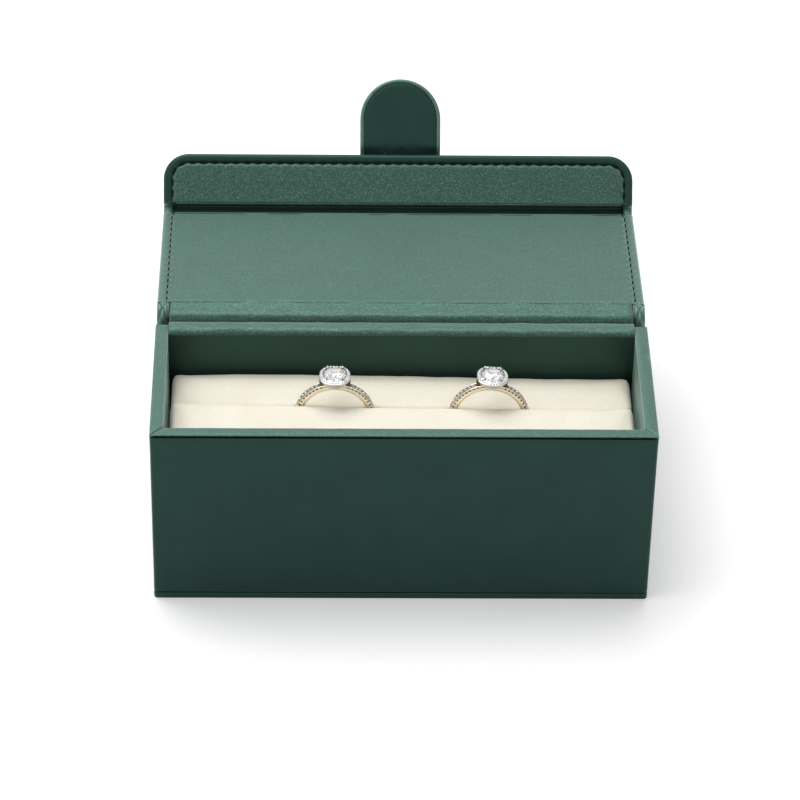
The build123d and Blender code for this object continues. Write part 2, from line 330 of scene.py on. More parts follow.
def foamFinish():
    finish = Finish("foam", Specular_IOR_Level=0.1)
    pores = finish.cells(0.8)
    colour = finish.tint(pores, (0.55, 0.53, 0.47), (0.86, 0.84, 0.78))
    return finish.dress(Base_Color=colour, Roughness=0.95 - pores * 0.05, Normal=finish.relief(pores, 0.2))


def magnetFinish():
    # nickel plate with turning marks
    finish = Finish("nickelPlate", Metallic=1.0)
    spot = finish.spot()
    lines = finish.cloud(0.4, 2.0, spot * (1.0, 6.0, 1.0))
    colour = finish.tint(lines, (0.5, 0.5, 0.48), (0.68, 0.68, 0.66))
    return finish.dress(Base_Color=colour, Roughness=0.26 + lines * 0.14, Normal=finish.relief(lines, 0.01))


def metalFinish(name, low, high, rough):
    # polished ring metal, with hairline polishing marks and soft patches
    finish = Finish(name, Metallic=1.0)
    spot = finish.spot()
    hairs = finish.cloud(0.18, 3.0, spot * (1.0, 1.0, 3.0))
    soft = finish.cloud(1.6, 2.0, spot)
    return finish.dress(
        Base_Color=finish.tint(soft, low, high),
        Roughness=rough + hairs * 0.12,
        Normal=finish.relief(hairs * 0.5 + soft, 0.006),
    )


def stoneFinish(name, clarity):
    # clear cut stone: faces are flat, so the sparkle comes from refraction
    finish = Finish(name, IOR=2.2, Transmission_Weight=clarity, Specular_IOR_Level=0.8)
    cloudy = finish.cloud(0.8, 2.0)
    return finish.dress(
        Base_Color=finish.tint(cloudy, (0.93, 0.95, 0.98), (1.0, 1.0, 1.0)), Roughness=0.01 + cloudy * 0.02
    )


print("finishes")
greenOuter = outerLeather(leatherLook)
greenLining = liningLeather(liningLook)
# lit copy of the outer leather: painted light
greenOuterLit = liningLeather(litOuterLeatherLook)
thread = threadFinish()
velvet = velvetFinish(velvetLook)
board = boardFinish()
foam = foamFinish()
nickel = magnetFinish()
paleGold = metalFinish("paleGold", (0.84, 0.74, 0.58), (0.94, 0.86, 0.72), 0.16)
whiteGold = metalFinish("whiteGold", (0.66, 0.65, 0.63), (0.84, 0.83, 0.81), 0.1)
# dark metal as painted shade between and under the rings' stones
shadedMetal = metalFinish("shadedMetal", (0.08, 0.068, 0.05), (0.2, 0.17, 0.13), 0.45)
clearStone = stoneFinish("clearStone", 0.75)
smallStone = stoneFinish("smallStone", 0.6)


# making pieces

def makePiece(name, points, faces, finish, sharp=50):
    mesh = bpy.data.meshes.new(name)
    mesh.from_pydata([Vector(point) * mm for point in points], [], faces)
    tidy = bmesh.new()
    tidy.from_mesh(mesh)
    bmesh.ops.remove_doubles(tidy, verts=tidy.verts, dist=0.0005 * mm)
    bmesh.ops.recalc_face_normals(tidy, faces=tidy.faces)
    tidy.to_mesh(mesh)
    tidy.free()
    mesh.shade_smooth()
    mesh.set_sharp_from_angle(angle=radians(sharp))
    mesh.materials.append(finish.material)
    piece = bpy.data.objects.new(name, mesh)
    bpy.context.collection.objects.link(piece)
    return piece


class Shell:
    # points and faces gathered from several lofts before they become one piece
    def __init__(self):
        self.points = []
        self.faces = []

    def loft(self, rings, closed=True, caps=False):
        start, count = len(self.points), len(rings[0])
        for ring in rings:
            self.points.extend(ring)
        span = count if closed else count - 1
        for i in range(len(rings) - 1):
            for j in range(span):
                a, b = start + i * count + j, start + i * count + (j + 1) % count
                self.faces.append((a, b, b + count, a + count))
        if caps:
            last = start + (len(rings) - 1) * count
            self.faces.append(tuple(range(start, start + count)))
            self.faces.append(tuple(range(last, last + count)))
        return self

    def make(self, name, finish, sharp=50):
        return makePiece(name, self.points, self.faces, finish, sharp)


def ride(piece, body, replaced=()):
    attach(piece, body)
    if replaced:
        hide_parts(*replaced)


def bridge(piece, first, second, start, end, slot, *replaced):
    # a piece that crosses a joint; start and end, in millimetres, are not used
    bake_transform(piece)
    if replaced:
        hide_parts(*replaced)


def ease(value):
    value = min(max(value, 0.0), 1.0)
    return value * value * (3 - 2 * value)


def waver(x, y, size, seed=0.0):
    # slow unevenness, from -1 to 1
    return noise.noise(Vector((x / size, y / size, seed)))


def smoothRoute(points, steps):
    # a rounded line through the given points
    route = []
    for i in range(len(points) - 1):
        before, a, b, after = [Vector(points[min(max(k, 0), len(points) - 1)]) for k in (i - 1, i, i + 1, i + 2)]
        for step in range(steps):
            t = step / steps
            route.append(
                0.5 * (2 * a + (b - before) * t + (2 * before - 5 * a + 4 * b - after) * t**2
                       + (3 * a - before - 3 * b + after) * t**3)
            )
    return route + [Vector(points[-1])]


def spread(low, high, step):
    count = max(1, round(abs(high - low) / step))
    return [low + (high - low) * i / count for i in range(count + 1)]


def circle(count, shift=0.0):
    return [2 * pi * (i + shift) / count for i in range(count)]


def signedPower(value, power):
    # keeps the sign, and makes a circle's quarters squarer
    return abs(value) ** power * (1 if value > 0 else -1)


def routeNormals(route):
    # to the right of the way that a line of (y, z) points runs
    normals = []
    for i in range(len(route)):
        run = route[min(i + 1, len(route) - 1)] - route[max(i - 1, 0)]
        run = run.to_2d().normalized()
        normals.append(Vector((run.y, -run.x)))
    return normals


class Panel:
    # a flat leaf: x across, along from its pin, and up from the middle of its outer leather to its inner side
    def __init__(self, place, angle):
        self.place = place
        self.angle = angle

    def at(self, x, along, up):
        c, s = cos(self.angle), sin(self.angle)
        return Vector((x, self.place.y + along * c - up * s, self.place.z + along * s + up * c))

    def route(self, spots):
        # (y, z) points from (along, up) pairs
        return [self.at(0, along, up).yz for along, up in spots]

    def level(self, point):
        # how far up from the leaf a point in metres is
        return (point.z / mm - self.place.z) * cos(self.angle) - (point.y / mm - self.place.y) * sin(self.angle)


def backWith(piece, panel, finish, below):
    # the outer side of a leaf has the finish of the case
    piece.data.materials.append(finish.material)
    for polygon in piece.data.polygons:
        if panel.level(polygon.center) < below:
            polygon.material_index = 1
    return piece


# the case

low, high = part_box("base_cover")
caseHalf = Vector((high.x, high.y)) / mm
plateTop = high.z / mm
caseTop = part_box("rim_front")[1].z / mm
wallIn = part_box("lining_back")[0].y / mm  # inside face of the back wall
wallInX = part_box("lining_right")[0].x / mm

caseLook = {
    "corner": 1.0,
    "cornerSteps": 8,
    "cornerReach": 1.5,  # how near a corner the end walls begin
    "seam": 0.36,  # from the rim's top down to the seam under its outer edge
    "wave": 0.05,
    "waveSize": 14.0,
    # inset and height of the turned edges
    "plateFoot": [(1.2, 0.0), (0.3, 0.0), (0.06, 0.03), (0.0, 0.12)],
    "plateHead": [(0.0, -0.42), (0.06, -0.2), (0.22, -0.05), (1.2, 0.0)],
    "wrapFoot": [(1.1, 0.02), (0.55, 0.12), (0.2, 0.3), (0.04, 0.5), (0.0, 0.75)],
    "wrapHead": [(0.0, -0.8), (0.07, -0.64), (0.35, -0.56), (0.9, -0.42), (1.0, 0.1)],
}


def caseOutline(inset, z, look, step=2.0):
    # a rounded rectangle, its straight runs divided so that they can waver
    halfX, halfY = caseHalf.x - inset, caseHalf.y - inset
    corner = max(look["corner"] - inset, 0.15)
    ring = []
    for signX, signY, start in ((1, -1, -90), (1, 1, 0), (-1, 1, 90), (-1, -1, 180)):
        centre = (signX * (halfX - corner), signY * (halfY - corner))
        for turn in spread(radians(start), radians(start + 90), radians(90) / look["cornerSteps"]):
            ring.append(Vector((centre[0] + corner * cos(turn), centre[1] + corner * sin(turn), z)))
    long = []
    for i, point in enumerate(ring):
        long.append(point)
        after = ring[(i + 1) % len(ring)]
        if (i + 1) % (look["cornerSteps"] + 1) == 0:
            run = caseHalf.x if abs(after.x - point.x) > abs(after.y - point.y) else caseHalf.y
            count = round(2 * run / step)
            long.extend(point.lerp(after, k / count) for k in range(1, count))
    return long


def makeCase(look):
    edges = look["plateFoot"] + [(inset, plateTop + z) for inset, z in look["plateHead"]]
    plate = Shell().loft([caseOutline(inset, z, look) for inset, z in edges], caps=True)
    ride(plate.make("basePlate", greenOuter), "box", ["base_cover"])
    seamTop = caseTop - look["seam"]
    heights = [(inset, plateTop + z) for inset, z in look["wrapFoot"]]
    heights += [(0.0, z) for z in spread(plateTop + 2.0, seamTop - 2.0, 4.0)]
    heights += [(inset, seamTop + z) for inset, z in look["wrapHead"]]
    rings = []
    for inset, z in heights:
        ring = caseOutline(inset, z, look)
        inner = ease((z - plateTop - 1) / 3) * ease((seamTop - 1 - z) / 3)
        for point in ring:
            # the boards show through as the slightest unevenness, always inwards
            dent = look["wave"] * inner * (0.5 + 0.5 * waver(point.x + point.y, z, look["waveSize"]))
            if abs(point.x) < caseHalf.x - look["cornerReach"]:
                point.y -= dent if point.y > 0 else -dent
            else:
                point.x -= dent if point.x > 0 else -dent
        rings.append(ring)
    ride(Shell().loft(rings).make("caseWrap", greenOuter), "box", ["outer_wrap"])


rimLook = {
    # how far in from the outer face, and how far below the top: the leather is soft over the board
    "section": [
        (0.35, 0.36), (0.09, 0.34), (0.0, 0.26), (0.04, 0.14), (0.17, 0.05), (0.45, 0.0), (1.1, -0.03), (1.7, -0.04),
        (2.3, -0.02), (2.85, 0.02), (3.16, 0.1), (3.33, 0.25), (3.39, 0.5), (3.39, 1.0),
    ],
    "ends": [0, 0.06, 0.15, 0.3, 0.5, 0.75, 1.1],  # close rings near both ends, and then even steps
    "evenFrom": 1.8,
    "step": 1.2,
    "pinch": 0.34,  # how deep the mitre's crease is
    "pinchReach": 0.9,
    "mitreGap": 0.05,
    "wave": 0.05,
    "waveSize": 5.0,
    "waveTop": 0.03,
}


def rimStrip(name, look, node, length, mitres, place):
    # place(across, along) gives x and y, and along runs between two ends cut square or mitred
    ends, first = look["ends"], look["evenFrom"]
    stations = ends + spread(first, length - first, look["step"]) + [length - end for end in reversed(ends)]
    rings = []
    for station in stations:
        ring = []
        near = min(station if mitres[0] else 9, length - station if mitres[1] else 9)
        crease = look["pinch"] * exp(-((near / look["pinchReach"]) ** 2) * 3)
        for across, drop in look["section"]:
            start, end = [look["mitreGap"] + (across if mitre else 0) for mitre in mitres]
            along = start + station / length * (length - start - end)
            top = drop < 0.3
            soft = look["wave"] * waver(station, across, look["waveSize"], len(name)) * (1 if top else 0.3)
            z = caseTop - drop - (crease if top else 0) + min(soft, look["waveTop"])
            ring.append(Vector((*place(across, along), z)))
        rings.append(ring)
    # the rims take the lit copy of the outer leather, with a painted highlight on their edges
    ride(Shell().loft(rings, closed=False).make(name, greenOuterLit, 60), "box", [node])


def makeRims(look):
    x, y = caseHalf
    for side, length, mitres, place in (
        ("Front", 2 * x, (True, True), lambda across, along: (along - x, across - y)),
        ("Left", 2 * y, (True, False), lambda across, along: (across - x, along - y)),
        ("Right", 2 * y, (True, False), lambda across, along: (x - across, along - y)),
    ):
        rimStrip(f"rim{side}", look, f"rim_{side.lower()}", length, mitres, place)


# lid, flap and tab

lidPlace = jointPlace["lid_hinge"]
foldPlace = jointPlace["flap_fold"]
lidAngle = atan2(foldPlace.z - lidPlace.z, foldPlace.y - lidPlace.y)
flapAngle = lidAngle - radians(jointRange["flap_fold"][0])
lid = Panel(lidPlace, lidAngle)
flap = Panel(foldPlace, flapAngle)
spinePlace = jointPlace["spine_hinge"]
spine = Panel(spinePlace, atan2(lidPlace.z - spinePlace.z, lidPlace.y - spinePlace.y))

leafLook = {
    "outer": -0.3,  # level of the outer leather's face
    "inner": 2.8,  # level of the lining's face
    "lidStart": 0.65,
    "lidEnd": 47.4,
    "flapStart": 3.25,
    "flapEnd": 16.95,
    "flapCorner": 7.0,
    "seamInset": 2.5,  # the stitch line's distance from the edge
    "stitchPitch": 3.0,
    "stitchLength": 2.35,
    "stitchThick": 0.42,
    "stitchSink": 0.72,  # how deep a stitch starts below the inner face
    "stitchRise": 0.42,
    "perStitch": 8,
    # inset from the edge and drop below the inner face, from the outer face round to the stitch groove
    "hem": [
        (1.3, 3.1), (0.75, 3.06), (0.35, 2.9), (0.1, 2.6), (0.0, 2.15), (0.0, 1.0), (0.08, 0.6), (0.26, 0.27),
        (0.55, 0.07), (1.0, -0.03), (1.5, -0.02), (1.95, 0.08), (2.25, 0.26), (2.42, 0.5), (2.5, 0.72),
    ],
    # the lining's edge, which puffs up between the stitches
    "lining": [(2.45, 0.85), (2.5, 0.6), (2.6, 0.36), (2.8, 0.16), (3.1, 0.04), (3.5, -0.02), (4.1, 0.0), (4.4, 0.0)],
    "puff": 0.2,
    "puffReach": 0.8,
}


def pucker(look, inset, distance):
    # how much a stitch pulls the leather down, and how far its edge gives way, at a point near the seam
    wave = 0.5 + 0.5 * cos(2 * pi * distance / look["stitchPitch"])
    near = exp(-(((inset - look["seamInset"]) / look["puffReach"]) ** 2))
    return look["puff"] * wave * near


def edgeRings(panel, path, look, profile):
    # rings that follow a path of (x, along, normal x, normal along, distance), drawn at the seam
    rings = []
    for inset, drop in profile:
        ring = []
        for x, along, nx, na, distance in path:
            give = pucker(look, inset, distance)
            reach = look["seamInset"] - inset
            if inset > look["seamInset"]:
                reach -= 0.45 * give
            ring.append(panel.at(x + nx * reach, along + na * reach, look["inner"] - drop - give * 0.8))
        rings.append(ring)
    return rings


def flapPath(look):
    # up the left side, over the corners and the free edge, and down the right side, along the stitches
    seam, half = look["seamInset"], caseHalf.x
    bend = look["flapCorner"] - seam
    cornerX, cornerA = half - look["flapCorner"], look["flapEnd"] - look["flapCorner"]
    step = look["stitchPitch"] / look["perStitch"]
    side = spread(look["flapStart"], cornerA, step)
    arc = spread(0, pi / 2, step / bend)
    top = spread(-cornerX, cornerX, step)
    path = [(-half + seam, along, -1, 0) for along in side]
    path += [(-cornerX - bend * cos(turn), cornerA + bend * sin(turn), -cos(turn), sin(turn)) for turn in arc[1:]]
    path += [(x, look["flapEnd"] - seam, 0, 1) for x in top[1:]]
    path += [(cornerX + bend * sin(turn), cornerA + bend * cos(turn), sin(turn), cos(turn)) for turn in arc[1:]]
    path += [(half - seam, along, 1, 0) for along in reversed(side[:-1])]
    return measured(path)


def lidSide(look, sign):
    places = spread(look["lidStart"], look["lidEnd"], look["stitchPitch"] / look["perStitch"])
    return measured([(sign * (caseHalf.x - look["seamInset"]), along, sign, 0) for along in places])


def measured(path):
    # adds the distance walked to each point of a path
    total, made, last = 0.0, [], None
    for x, along, nx, na in path:
        total += hypot(x - last[0], along - last[1]) if last else 0.0
        last = (x, along)
        made.append((x, along, nx, na, total))
    return made


def stitches(name, panel, path, look, body):
    # short threads that dip at both ends, one for each pitch of the path
    shell = Shell()
    distances = np.array([point[4] for point in path])
    values = np.array([point[:4] for point in path])
    count = int(distances[-1] // look["stitchPitch"])
    lead = (distances[-1] - count * look["stitchPitch"]) / 2
    for i in range(count):
        middle = lead + (i + 0.5) * look["stitchPitch"]
        rings = []
        for k in range(7):
            place = middle + (k / 6 - 0.5) * look["stitchLength"]
            x, along, nx, na = [np.interp(place, distances, values[:, c]) for c in range(4)]
            arch = sin(pi * k / 6)
            radius = look["stitchThick"] / 2 * (0.55 + 0.45 * arch**0.5 if 0 < k < 6 else 0.3)
            level = look["inner"] - look["stitchSink"] + look["stitchRise"] * max(arch, 0.0) ** 0.7
            ring = []
            for angle in circle(8):
                out = radius * cos(angle)
                ring.append(panel.at(x + nx * out, along + na * out, level + radius * sin(angle)))
            rings.append(ring)
        shell.loft(rings, caps=True)
    ride(shell.make(name, thread), body)


def makeLid(look):
    # the outer leather is one sleeve round the board, swept from the hinge to the fold
    left, right = lidSide(look, -1), lidSide(look, 1)
    hems = [edgeRings(lid, side, look, look["hem"]) for side in (left, right)]
    # the hem takes the lit copy of the outer leather as painted light; the outer face keeps the plain outer finish
    cover = Shell().loft(list(zip(*hems[1], *hems[0][::-1])), caps=True).make("lidCover", greenOuterLit)
    ride(backWith(cover, lid, greenOuter, 0.9), "lid", ["lid_cover", "lid_board"])

    edges = [edgeRings(lid, side, look, look["lining"]) for side in (left, right)]
    inner = caseHalf.x - look["lining"][-1][0]
    field = []
    for x in spread(-inner, inner, 2.4)[1:-1]:
        places = [point[1] for point in left]
        field.append([lid.at(x, along, look["inner"] + 0.035 * waver(x, along, 9.0, 3.0)) for along in places])
    lining = Shell().loft(list(zip(*edges[0], *field, *edges[1][::-1])), caps=True)
    ride(lining.make("lidLining", greenLining), "lid", ["lid_lining"])
    stitches("lidStitchesLeft", lid, left, look, "lid")
    stitches("lidStitchesRight", lid, right, look, "lid")


def makeFlap(look):
    path = flapPath(look)
    cover = Shell().loft(edgeRings(flap, path, look, look["hem"]), caps=True).make("flapCover", greenOuter)
    ride(cover, "flap", ["flap_cover", "flap_board", "flap_magnets"])
    lining = Shell().loft(edgeRings(flap, path, look, look["lining"]), caps=True).make("flapLining", greenLining)
    ride(lining, "flap", ["flap_lining"])
    stitches("flapStitches", flap, path, look, "flap")


foldLook = {
    # along and up in the lid's frame and then in the flap's, from one lining to the other
    "liningLid": [(46.6, 2.8), (47.1, 2.78), (47.4, 2.55), (47.5, 2.0), (47.6, 1.0), (48.2, 0.35)],
    "liningFlap": [(2.3, 0.35), (2.9, 0.9), (3.08, 1.7), (3.12, 2.45), (3.35, 2.77), (3.8, 2.8)],
    "coverLid": [(46.9, -0.3), (47.6, -0.32), (48.8, -0.3)],
    "coverFlap": [(1.9, -0.3), (3.1, -0.32), (3.8, -0.3)],
    "hemLid": [(47.1, 2.8), (47.7, 2.35), (48.6, 1.8)],
    "hemFlap": [(2.2, 1.8), (2.95, 2.35), (3.6, 2.8)],
    "hemDepth": 1.5,
    "thick": 0.5,
    "wave": 0.05,
    "steps": 4,
    "level": 1.2,  # where the bend starts and ends, in the lid's thickness
    "overlap": 0.2,
}


stripLook = {
    "edge": 0.3,  # how far in from its sides a strip gets thinner
    "tuck": 0.42,  # by how much, on each face, as a share of its thickness
    "evenFrom": 1.5,
    "step": 2.0,
    "waveSize": 7.0,
}


def stripPiece(name, route, thick, halfWidth, finish, wave=0.0):
    # a strip of leather that follows a route of (y, z) points, thick to the right of the way it runs
    look, normals = stripLook, routeNormals(route)
    even = halfWidth - look["evenFrom"]
    sides = [halfWidth, halfWidth - look["edge"] * 0.3, halfWidth - look["edge"]]
    rings = []
    for x in [-x for x in sides] + spread(-even, even, look["step"]) + sides[::-1]:
        tuck = look["tuck"] * thick * (1 - min((halfWidth - abs(x)) / look["edge"], 1.0)) ** 2
        upper, lower = [], []
        for i, (point, normal) in enumerate(zip(route, normals)):
            lift = wave * sin(pi * i / (len(route) - 1)) * waver(x, i, look["waveSize"], len(name))
            upper.append(Vector((x, *(point + normal * (tuck - lift)))))
            lower.append(Vector((x, *(point + normal * (thick - tuck)))))
        rings.append(upper + lower[::-1])
    return Shell().loft(rings, caps=True).make(name, finish, 60)


def makeFold(look):
    route = smoothRoute(lid.route(look["liningLid"]) + flap.route(look["liningFlap"]), look["steps"])
    seam = caseHalf.x - leafLook["seamInset"]
    # the fold's lining takes the darker outer finish: painted shade in the crease
    lining = stripPiece("foldLining", route, look["thick"], seam, greenOuter, look["wave"])
    route = smoothRoute(lid.route(look["coverLid"]) + flap.route(look["coverFlap"]), look["steps"])
    cover = stripPiece("foldCover", route[::-1], look["thick"], caseHalf.x, greenOuter)
    start = lid.at(0, leafLook["lidEnd"] - look["overlap"], look["level"])
    end = flap.at(0, leafLook["flapStart"] + look["overlap"], look["level"])
    bridge(lining, "lid", "flap", start, end, "lining_leather", "fold_lining")
    bridge(cover, "lid", "flap", start, end, "outer_leather", "fold_cover")
    # the hem goes on through the fold at both sides
    for side, sign in (("Left", -1), ("Right", 1)):
        bridge(foldHem(f"foldHem{side}", look, sign), "lid", "flap", start, end, "outer_leather")


def foldHem(name, look, sign):
    route = smoothRoute(lid.route(look["hemLid"]) + flap.route(look["hemFlap"]), 5)
    rings = []
    for point, inward in zip(route, routeNormals(route)):
        ring = []
        for inset, drop in leafLook["hem"][3:]:
            spot = point + inward * min(drop, look["hemDepth"])
            ring.append(Vector((sign * (caseHalf.x - inset), *spot)))
        rings.append(ring)
    # lit copy of the outer leather: painted light on the hem
    return Shell().loft(rings, caps=True).make(name, greenOuterLit)


tabLook = {
    "halfWidth": 11.15,
    "shift": 0.5,
    "dip": 1.1,  # how far the tab sinks where it comes out from behind the flap
    "dipReach": 2.8,
    "root": 7.95,
    "tip": 37.95,
    "rootCorner": 1.5,
    # inset from the edge and level, from the outer face round to the groove round the facing
    "shell": [
        (1.3, -2.5), (0.8, -2.47), (0.38, -2.3), (0.1, -1.95), (0.0, -1.5), (0.0, -0.95), (0.07, -0.62), (0.22, -0.4),
        (0.45, -0.32), (0.72, -0.33), (0.93, -0.45), (1.04, -0.75), (1.1, -1.6), (3.0, -1.9),
    ],
    "facing": [
        (1.0, -1.0), (1.08, -0.72), (1.2, -0.52), (1.5, -0.42), (2.2, -0.38), (3.4, -0.36), (5.0, -0.36), (7.0, -0.36),
        (9.0, -0.36), (10.6, -0.36), (11.1, -0.36),
    ],
}


def tabPath(look, inset):
    half, root, corner = look["halfWidth"], look["root"], look["rootCorner"]
    centre = look["tip"] - half
    bends = [(corner * (1 - sin(turn)), corner * (1 - cos(turn))) for turn in spread(0, pi / 2, pi / 12)]
    path = [(-half + x, root + along) for x, along in bends]
    path += [(-half, along) for along in spread(root + corner, centre, 1.0)[1:-1]]
    path += [(-half * cos(turn), centre + half * sin(turn)) for turn in spread(0, pi, pi / 60)]
    path += [(half, along) for along in spread(centre, root + corner, 1.0)[1:-1]]
    path += [(half - x, root + along) for x, along in reversed(bends)]
    scale, low = (half - inset) / half, root + inset
    ring = []
    for x, along in path:
        if along >= centre:
            ring.append((x * scale, centre + (along - centre) * scale))
        else:
            ring.append((x * scale, low + (along - root) * (centre - low) / (centre - root)))
    return ring


def makeTab(look):
    for name, profile, finish, slot, nodes in (
        # the shell's edges take the lit copy of the outer leather as painted highlight; its outer face keeps the plain
        # finish
        ("tabShell", look["shell"], greenOuterLit, "outer_leather", ["tab_shell", "tab_board"]),
        ("tabFacing", look["facing"], greenOuter, "lining_leather", ["tab_facing"]),
    ):
        rings = []
        for inset, level in profile:
            share = ease((level + 2.0) / 1.0)  # only the inner side sinks
            ring = []
            for x, along in tabPath(look, inset):
                dip = look["dip"] * (1 - ease((along - leafLook["flapEnd"] - 0.2) / look["dipReach"])) * share
                ring.append(flap.at(x + look["shift"], along, level - 0.02 - dip))
            rings.append(ring)
        piece = Shell().loft(rings, caps=True).make(name, finish)
        ride(backWith(piece, flap, greenOuter, -2.2), "flap", nodes)


# the hinge

hingeLook = {
    # the lining's upper face, from inside the back wall over its rim and down into the hinge: overRim is
    # measured from the wall's inner face and the case's top, valley and rise are (y, z), and lidEnd is on the lid
    "overRim": [
        (0.03, -1.5), (0.1, -0.8), (0.35, -0.15), (0.85, 0.27), (1.5, 0.46), (2.5, 0.43), (3.7, 0.27), (4.6, 0.02),
    ],
    "valley": [(24.95, 54.4), (25.1, 53.5), (25.45, 52.7), (26.05, 52.4)],
    "rise": [(26.75, 52.75), (27.35, 53.7), (27.95, 54.5), (28.8, 54.85), (30.5, 54.98), (32.1, 55.13)],
    "lidEnd": [(0.62, 2.72), (1.0, 2.85), (1.4, 2.88), (1.9, 2.82)],
    "bendStart": (0, 29.4, 54.9),
    "bendEnd": (0, 1.6, 2.6),  # on the lid
    "thick": 0.5,
    "wave": 0.2,
    "steps": 4,
    "gap": 0.1,
}


def makeHinge(look):
    overRim = [(wallIn + y, caseTop + z) for y, z in look["overRim"]]
    valley, thick, wave = look["valley"], look["thick"], look["wave"]
    whole = smoothRoute(overRim + valley + look["rise"] + lid.route(look["lidEnd"]), look["steps"])
    split = look["steps"] * (len(overRim) + len(valley) - 1)
    half = wallInX - look["gap"]
    lower = stripPiece("hingeLiningRim", whole[:split + 1], thick, half, greenLining, wave)
    upper = stripPiece("hingeLiningLid", whole[split:], thick, half, greenLining, wave)
    # both are only baked in place: the bend places near the pins are passed but not used
    start, end = Vector((0, *overRim[-3])), Vector((0, *valley[1]))
    bridge(lower, "box", "spine", start, end, "lining_leather", "hinge_liner", "rim_back")
    start, end = Vector(look["bendStart"]), lid.at(*look["bendEnd"])
    bridge(upper, "spine", "lid", start, end, "lining_leather", "hinge_liner")


spineLook = {
    "outer": -0.55,  # level of the outer leather's face
    "start": 0.9,
    "end": 7.8,
    "thick": 0.6,
    "plateThick": 1.08,  # leather and backing together
    "wave": 0.02,
    "backTop": 48.2,
    "lidReach": (0.4, 1.3),  # where the upper crease meets the lid
}


def makeSpine(look):
    # the outer leather goes on from the back of the case over the spine to the lid
    foot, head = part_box("back_cover")
    backY, backHalf, half = head.y / mm, head.x / mm, caseHalf.x
    top, start, end, thick = look["backTop"], look["start"], look["end"], look["thick"]

    def outside(places):
        return spine.route([(place, look["outer"]) for place in places])

    route = [Vector((backY, z)) for z in spread(foot.z / mm, top, 4.0)]
    piece = stripPiece("backCover", route[::-1], thick - 0.02, backHalf, greenOuter)
    ride(piece, "box", ["back_cover"])
    route = outside(spread(start, end, 1.2))
    piece = stripPiece("spineCover", route[::-1], look["plateThick"], half, greenOuter, look["wave"])
    ride(piece, "spine", ["spine_leather", "spine_backing"])
    route = [(backY, top - 0.3), (backY + 0.02, top + 0.45)] + outside((start - 0.25, start + 0.5))
    crease = stripPiece("lowerCrease", smoothRoute(route, 5)[::-1], thick, backHalf, greenOuter)
    bridge(crease, "box", "spine", Vector((0, backY, top)), spine.at(0, start, 0), "outer_leather")
    route = outside((end - 0.5, end + 0.2)) + lid.route([(along, leafLook["outer"]) for along in look["lidReach"]])
    crease = stripPiece("upperCrease", smoothRoute(route, 5)[::-1], thick, half, greenOuter)
    bridge(crease, "spine", "lid", spine.at(0, end, 0), lid.at(0, 0.8, 0), "outer_leather")


knobLook = {
    "width": (61.75, 64.95),
    # the side hem curls down from the lid into the hinge: middle line as (y, z), half height
    "line": [
        (33.6, 54.6, 0.7), (32.7, 54.8, 0.5), (31.8, 54.75, 1.0), (30.6, 54.3, 1.35), (29.4, 53.3, 1.4),
        (28.5, 52.0, 1.1), (27.9, 50.9, 0.6),
    ],
    "sides": 36,
    "square": 0.75,
    "crease": 0.4,
    "creaseWidth": 0.11,
    "creaseAcross": (0.2, 0.85),  # where the two creases start, from the inner side
    "creaseSlant": 1.2,
    "bendStart": (0, 30.0, 54.0),
    "bendEnd": (0, 1.6, 2.6),  # on the lid
}


def makeKnobs(look):
    # a bead of leather with a crossed crease, at both ends of the hinge
    inner, outer = look["width"]
    one, two = look["creaseAcross"]
    route = smoothRoute(look["line"], 5)
    for side, sign in (("Left", -1), ("Right", 1)):
        rings = []
        # the line runs towards the box, so its normals point out of the hinge
        for i, (point, up) in enumerate(zip(route, routeNormals(route))):
            slant = look["creaseSlant"] * (i / (len(route) - 1) - 0.2)
            ring = []
            for angle in circle(look["sides"]):
                across = 0.5 + 0.5 * cos(angle)
                tall = point.z * signedPower(sin(angle), look["square"])
                if sin(angle) > 0:
                    lines = (across - one - slant, across - two + slant)
                    tall -= look["crease"] * sum(exp(-((line / look["creaseWidth"]) ** 2)) for line in lines)
                ring.append(Vector((sign * (inner + (outer - inner) * across), *(point.to_2d() + up * tall))))
            rings.append(ring)
        # lit copy of the outer leather: painted light on the bead's top
        piece = Shell().loft(rings, caps=True).make(f"hingeKnob{side}", greenOuterLit, 70)
        bridge(piece, "spine", "lid", Vector(look["bendStart"]), lid.at(*look["bendEnd"]), "outer_leather")


# the cushion

cushionLook = {
    "end": 60.75,
    "foot": 24.5,
    "frontBack": -19.6,  # where the front roll meets the front wall
    "slot": 4.3,
    "backWall": 19.6,
    "frontCrown": 44.1,
    "backCrown": 42.6,
    "round": 2.2,
    "endRound": 1.2,
    "closed": 0.12,
    "open": 1.05,
    "openReach": 1.6,
    "topFrom": 36.0,  # above this the crown rises and falls
    "topReach": 6.0,
    "ripple": 0.12,
    "rippleSize": 6.0,
    "scale": 10.0,  # how many times larger the roll is while it is simulated
    "voxel": 1.0,
    "pressure": 3.0,
    "quality": 5,
    "cap": 4.0,  # the furthest that the cloth moves, at that size
    "frames": 16,
    # how the crowns rise and fall along the slot, as (x, lift)
    "frontWave": [(-61, 1.3), (-50, 1.15), (-32, 0.7), (-12, 0.15), (0, 0.0), (25, -0.15), (45, -0.3), (61, -0.1)],
    "backWave": [(-61, -0.1), (-42, 0.4), (-28, 0.35), (0, 0.0), (14, -0.3), (40, -0.85), (61, -0.9)],
}
ringLook = {
    "centreHeight": 39.8,
    "depth": 4.3,
    "lean": 2.5,
    "left": {"x": -17.7, "roll": 0.0},
    "right": {"x": 22.8, "roll": 3.0},
    "inner": 8.6,
    "outer": 10.4,
    "width": 1.9,
    "narrow": 0.12,
    "squareAcross": 0.55,
    "squareThrough": 0.6,
}


